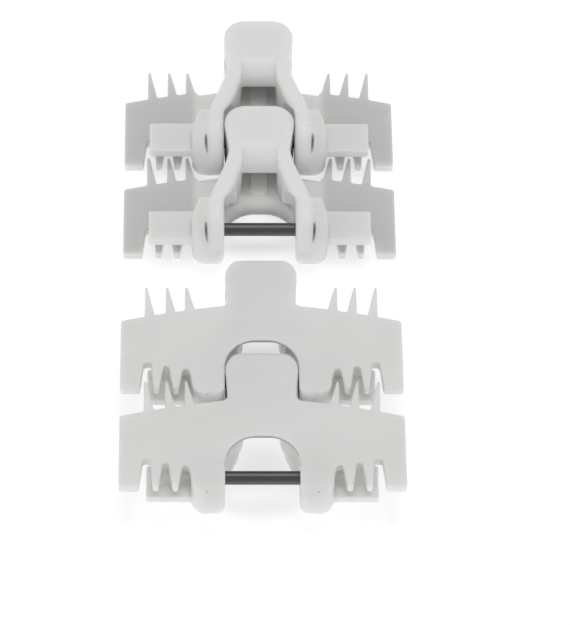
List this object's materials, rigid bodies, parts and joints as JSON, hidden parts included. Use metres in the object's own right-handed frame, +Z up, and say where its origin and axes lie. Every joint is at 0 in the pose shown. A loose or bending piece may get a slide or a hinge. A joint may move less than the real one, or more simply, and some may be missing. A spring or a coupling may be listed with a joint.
{
  "type": "flexible conveyor chain",
  "caption": "Two short lengths of side-flexing plain conveyor chain in white plastic with steel pins, one upright, one turned over.",
  "frame": {"origin": "middle of the two lengths, on the surface that they lie on", "axes": "+Z up, +Y along the chain towards the noses, X across the track"},
  "size_m": [0.083, 0.1756, 0.017],
  "materials": {
    "acetal": "natural white acetal, satin as moulded",
    "pivot_plastic": "natural white polyamide, satin",
    "steel": "drawn stainless steel pin, bright with a grain along it"
  },
  "bodies": {
    "front_lead": {"front_lead_link": "acetal", "front_lead_pin": "steel"},
    "front_lead_pivot": {"front_lead_pivot": "pivot_plastic"},
    "front_tail_pivot": {"front_tail_pivot": "pivot_plastic"},
    "front_tail": {"front_tail_link": "acetal", "front_tail_pin": "steel"},
    "rear_lead": {"rear_lead_link": "acetal", "rear_lead_pin": "steel"},
    "rear_lead_pivot": {"rear_lead_pivot": "pivot_plastic"},
    "rear_tail_pivot": {"rear_tail_pivot": "pivot_plastic"},
    "rear_tail": {"rear_tail_link": "acetal", "rear_tail_pin": "steel"}
  },
  "joints": [
    {"name": "front_flex", "type": "hinge", "parent": "front_lead", "child": "front_tail_pivot", "pos_m": [0, -0.0438, 0.0105], "axis": [1, 0, 0], "range_deg": [-10, 30]},
    {"name": "front_yaw", "type": "hinge", "parent": "front_tail_pivot", "child": "front_tail", "pos_m": [0, -0.0438, 0.0105], "axis": [0, 0, 1], "range_deg": [-5, 5]},
    {"name": "front_pivot_turn", "type": "hinge", "parent": "front_lead", "child": "front_lead_pivot", "pos_m": [0, -0.0103, 0.0105], "axis": [0, 0, 1], "continuous": true},
    {"name": "rear_length_lift", "type": "slide", "parent": "front_lead", "child": "rear_lead", "axis": [0, 0, 1], "range_m": [0, 0.06]},
    {"name": "rear_flex", "type": "hinge", "parent": "rear_lead", "child": "rear_tail_pivot", "pos_m": [0, 0.0478, 0.0065], "axis": [-1, 0, 0], "range_deg": [-10, 30]},
    {"name": "rear_yaw", "type": "hinge", "parent": "rear_tail_pivot", "child": "rear_tail", "pos_m": [0, 0.0478, 0.0065], "axis": [0, 0, 1], "range_deg": [-5, 5]},
    {"name": "rear_pivot_turn", "type": "hinge", "parent": "rear_lead", "child": "rear_lead_pivot", "pos_m": [0, 0.0813, 0.0065], "axis": [0, 0, 1], "continuous": true}
  ]
}
